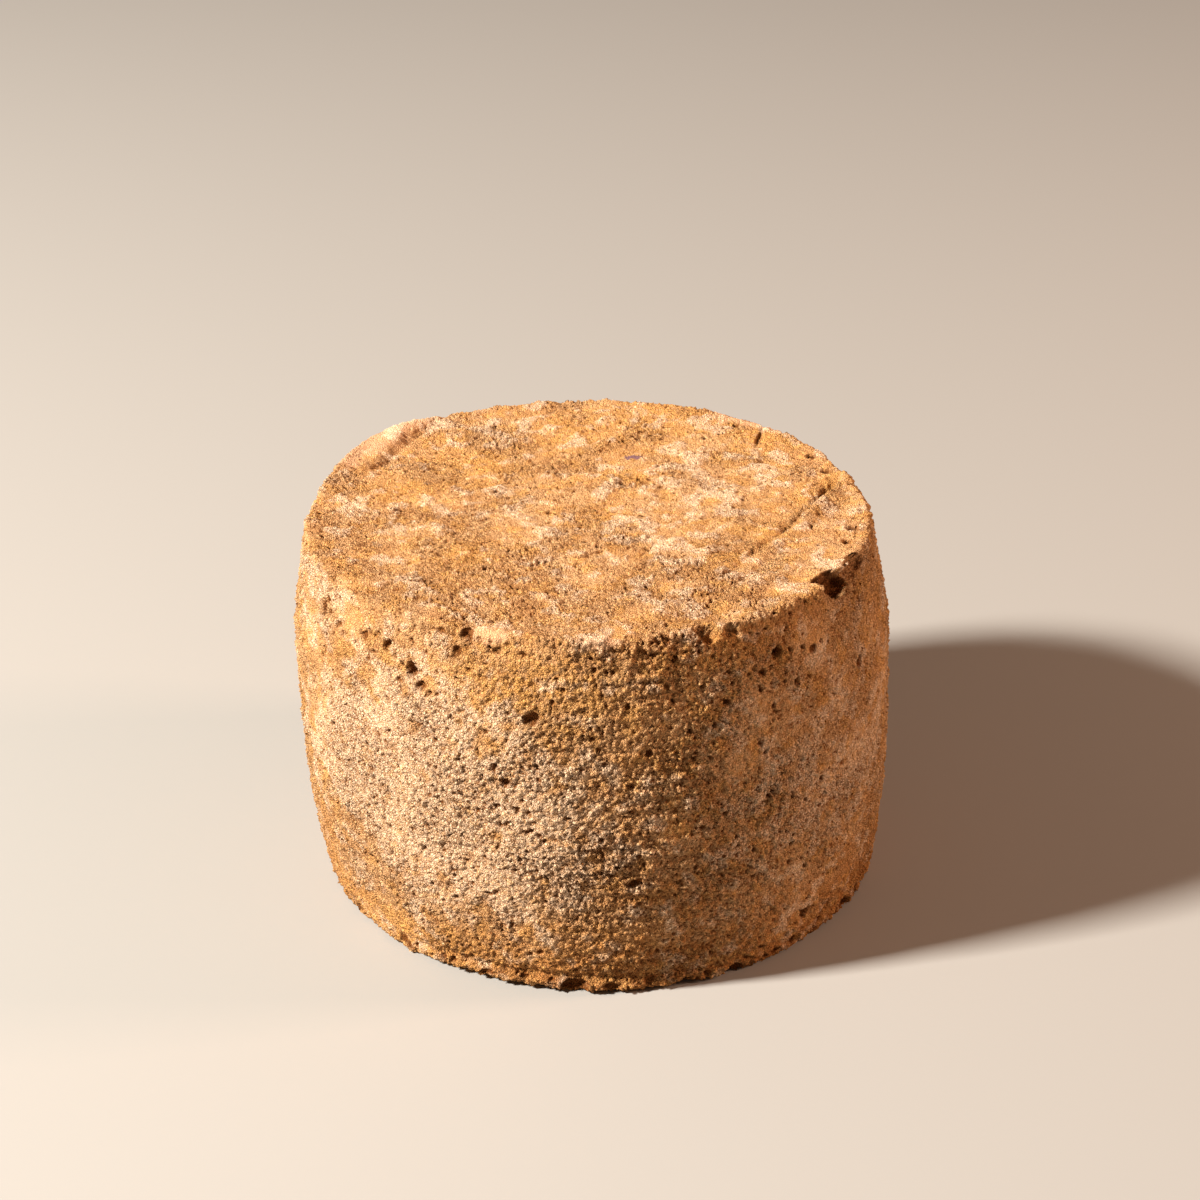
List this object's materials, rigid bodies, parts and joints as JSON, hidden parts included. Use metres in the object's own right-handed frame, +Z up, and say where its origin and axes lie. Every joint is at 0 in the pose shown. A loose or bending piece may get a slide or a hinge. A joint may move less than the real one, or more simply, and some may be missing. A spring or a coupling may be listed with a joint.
{
  "type": "cheese wheel",
  "caption": "Whole round cheese with straight, slightly swollen sides and a dry, pitted rind, standing on its flat base.",
  "frame": {"origin": "on the ground, under the middle of the bounding box", "axes": "Z is up, along the wheel's axis of rotation; the side that the picture shows faces -Y"},
  "size_m": [0.2008, 0.2008, 0.1296],
  "materials": {
    "rind": null
  },
  "bodies": {
    "root": {"cheese_wheel": "rind"}
  },
  "joints": []
}
